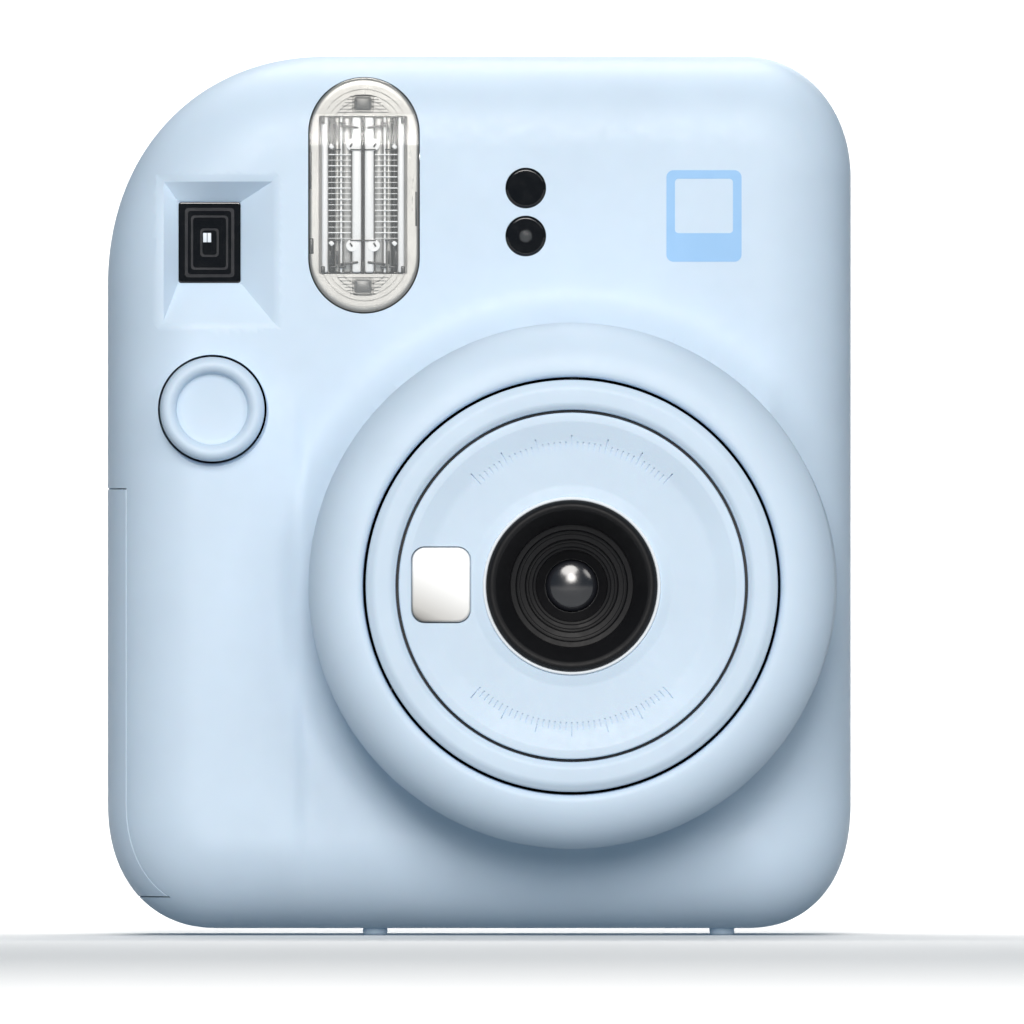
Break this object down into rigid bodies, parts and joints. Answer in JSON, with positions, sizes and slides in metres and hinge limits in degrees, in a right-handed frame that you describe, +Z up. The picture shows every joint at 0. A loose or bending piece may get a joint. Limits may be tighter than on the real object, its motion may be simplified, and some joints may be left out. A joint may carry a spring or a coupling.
{
  "type": "instant camera",
  "caption": "Compact instant print camera with a rotating lens dome, sliding barrel, flash, viewfinder, hinged film door and side battery cover.",
  "frame": {"origin": "floor plane under the feet, centre of the bounding box seen from above", "axes": "+Z up, the lens looks along -Y, +X to the viewer's right when facing the lens"},
  "size_m": [0.104, 0.0666, 0.123],
  "materials": {
    "case_plastic": "satin pastel blue",
    "black_plastic": "fine matte",
    "dark_gloss": "polished black",
    "steel": "drawn wire and stamped sheet",
    "chrome_bright": "bright plated",
    "mirror_skin": "convex mirror",
    "lens_glass": "coated glass",
    "clear_plastic": "clear moulded",
    "white_plastic": "natural acetal",
    "board_green": "solder mask",
    "copper_wind": "enamelled wire",
    "cell_wrap": "printed sleeve",
    "roller_rubber": "ground rubber",
    "seal_dark": "light-tight black"
  },
  "bodies": {
    "case": {"front_cover": "case_plastic", "rear_cover": "case_plastic", "door_hinge_pins": "steel", "door_latch_spring": "steel", "battery_cover_pin": "steel", "battery_box": "black_plastic", "battery_cells": "cell_wrap", "battery_springs": "steel", "battery_contacts": "steel", "guide_tube": "black_plastic", "light_cone": "seal_dark", "film_chamber": "seal_dark", "flash_lens": "clear_plastic", "flash_reflector": "chrome_bright", "flash_tube": "clear_plastic", "flash_capacitor": "dark_gloss", "flash_board": "board_green", "viewfinder_window": "dark_gloss", "viewfinder_tunnel": "black_plastic", "viewfinder_eyepiece": "black_plastic", "exposure_sensor_window": "dark_gloss", "flash_sensor_window": "dark_gloss", "sensor_board": "board_green", "button_spring": "steel", "shutter_switch": "black_plastic", "main_board": "board_green", "gear_bracket": "steel", "roller_bracket": "steel", "motor": "steel", "strap_bars": "black_plastic", "feet": "case_plastic", "case_screws": "steel"},
    "door": {"film_door": "case_plastic", "film_window": "clear_plastic", "counter_window": "clear_plastic", "film_pressure_springs": "steel"},
    "counter": {"counter_wheel": "white_plastic"},
    "latch": {"door_latch": "case_plastic"},
    "battery_lid": {"battery_cover": "case_plastic"},
    "dome": {"lens_dome": "case_plastic", "cam_ring": "black_plastic"},
    "barrel": {"lens_barrel": "case_plastic", "cam_pins": "steel", "lens_face": "case_plastic", "selfie_mirror": "mirror_skin", "lens_cone": "black_plastic", "front_lens": "lens_glass", "rear_lens": "lens_glass", "shutter_plate": "black_plastic", "shutter_solenoid": "copper_wind"},
    "blade_left": {"shutter_blade_left": "steel"},
    "blade_right": {"shutter_blade_right": "steel"},
    "button": {"shutter_button": "case_plastic"},
    "drive_roll": {"drive_roller": "roller_rubber", "drive_gear": "white_plastic"},
    "pressure_roll": {"pressure_roller": "steel", "pressure_gear": "white_plastic"},
    "idler": {"idler_gear": "white_plastic"},
    "pinion": {"motor_pinion": "white_plastic"},
    "pick": {"film_pick_arm": "steel"}
  },
  "joints": [
    {"name": "door_hinge", "type": "hinge", "parent": "case", "child": "door", "pos_m": [0.0498, 0.0135, 0.055], "axis": [0, 0, -1], "range_deg": [0, 95]},
    {"name": "counter_turn", "type": "hinge", "parent": "door", "child": "counter", "pos_m": [-0.006, 0.029, 0.021], "axis": [0, -1, 0], "continuous": true},
    {"name": "latch_slide", "type": "slide", "parent": "case", "child": "latch", "axis": [0, 0, -1], "range_m": [0, 0.003], "stiffness_N_per_m": 150, "deforming": ["door_latch_spring"]},
    {"name": "battery_hinge", "type": "hinge", "parent": "case", "child": "battery_lid", "pos_m": [-0.0498, 0.02, 0.039], "axis": [0, 0, -1], "range_deg": [0, 95]},
    {"name": "dome_turn", "type": "hinge", "parent": "case", "child": "dome", "pos_m": [0.0129, -0.0134, 0.04895], "axis": [0, -1, 0], "range_deg": [0, 60]},
    {"name": "barrel_slide", "type": "slide", "parent": "case", "child": "barrel", "axis": [0, -1, 0], "range_m": [0, 0.008]},
    {"name": "blade_left_swing", "type": "hinge", "parent": "barrel", "child": "blade_left", "pos_m": [0.0039, -0.021, 0.04895], "axis": [0, -1, 0], "range_deg": [0, 45]},
    {"name": "blade_right_swing", "type": "hinge", "parent": "barrel", "child": "blade_right", "pos_m": [0.0219, -0.0204, 0.04895], "axis": [0, -1, 0], "range_deg": [-45, 0]},
    {"name": "button_press", "type": "slide", "parent": "case", "child": "button", "axis": [0, 1, 0], "range_m": [0, 0.0014], "stiffness_N_per_m": 400, "deforming": ["button_spring"]},
    {"name": "drive_roll_turn", "type": "hinge", "parent": "case", "child": "drive_roll", "pos_m": [0.0129, 0.0184, 0.106], "axis": [1, 0, 0], "continuous": true},
    {"name": "pressure_roll_turn", "type": "hinge", "parent": "case", "child": "pressure_roll", "pos_m": [0.0129, 0.0106, 0.106], "axis": [1, 0, 0], "continuous": true},
    {"name": "idler_turn", "type": "hinge", "parent": "case", "child": "idler", "pos_m": [0.047, 0.01306, 0.09559], "axis": [1, 0, 0], "continuous": true},
    {"name": "pinion_turn", "type": "hinge", "parent": "case", "child": "pinion", "pos_m": [0.045, 0.005, 0.0884], "axis": [1, 0, 0], "continuous": true},
    {"name": "pick_slide", "type": "slide", "parent": "case", "child": "pick", "axis": [0, 0, 1], "range_m": [0, 0.008]}
  ],
  "couplings": [
    {"joint": "barrel_slide", "follows": "dome_turn", "m_per_rad": 0.00763},
    {"joint": "blade_right_swing", "follows": "blade_left_swing", "ratio": -1},
    {"joint": "pressure_roll_turn", "follows": "drive_roll_turn", "ratio": -1},
    {"joint": "idler_turn", "follows": "drive_roll_turn", "ratio": -0.5},
    {"joint": "pinion_turn", "follows": "drive_roll_turn", "ratio": 1.3}
  ]
}
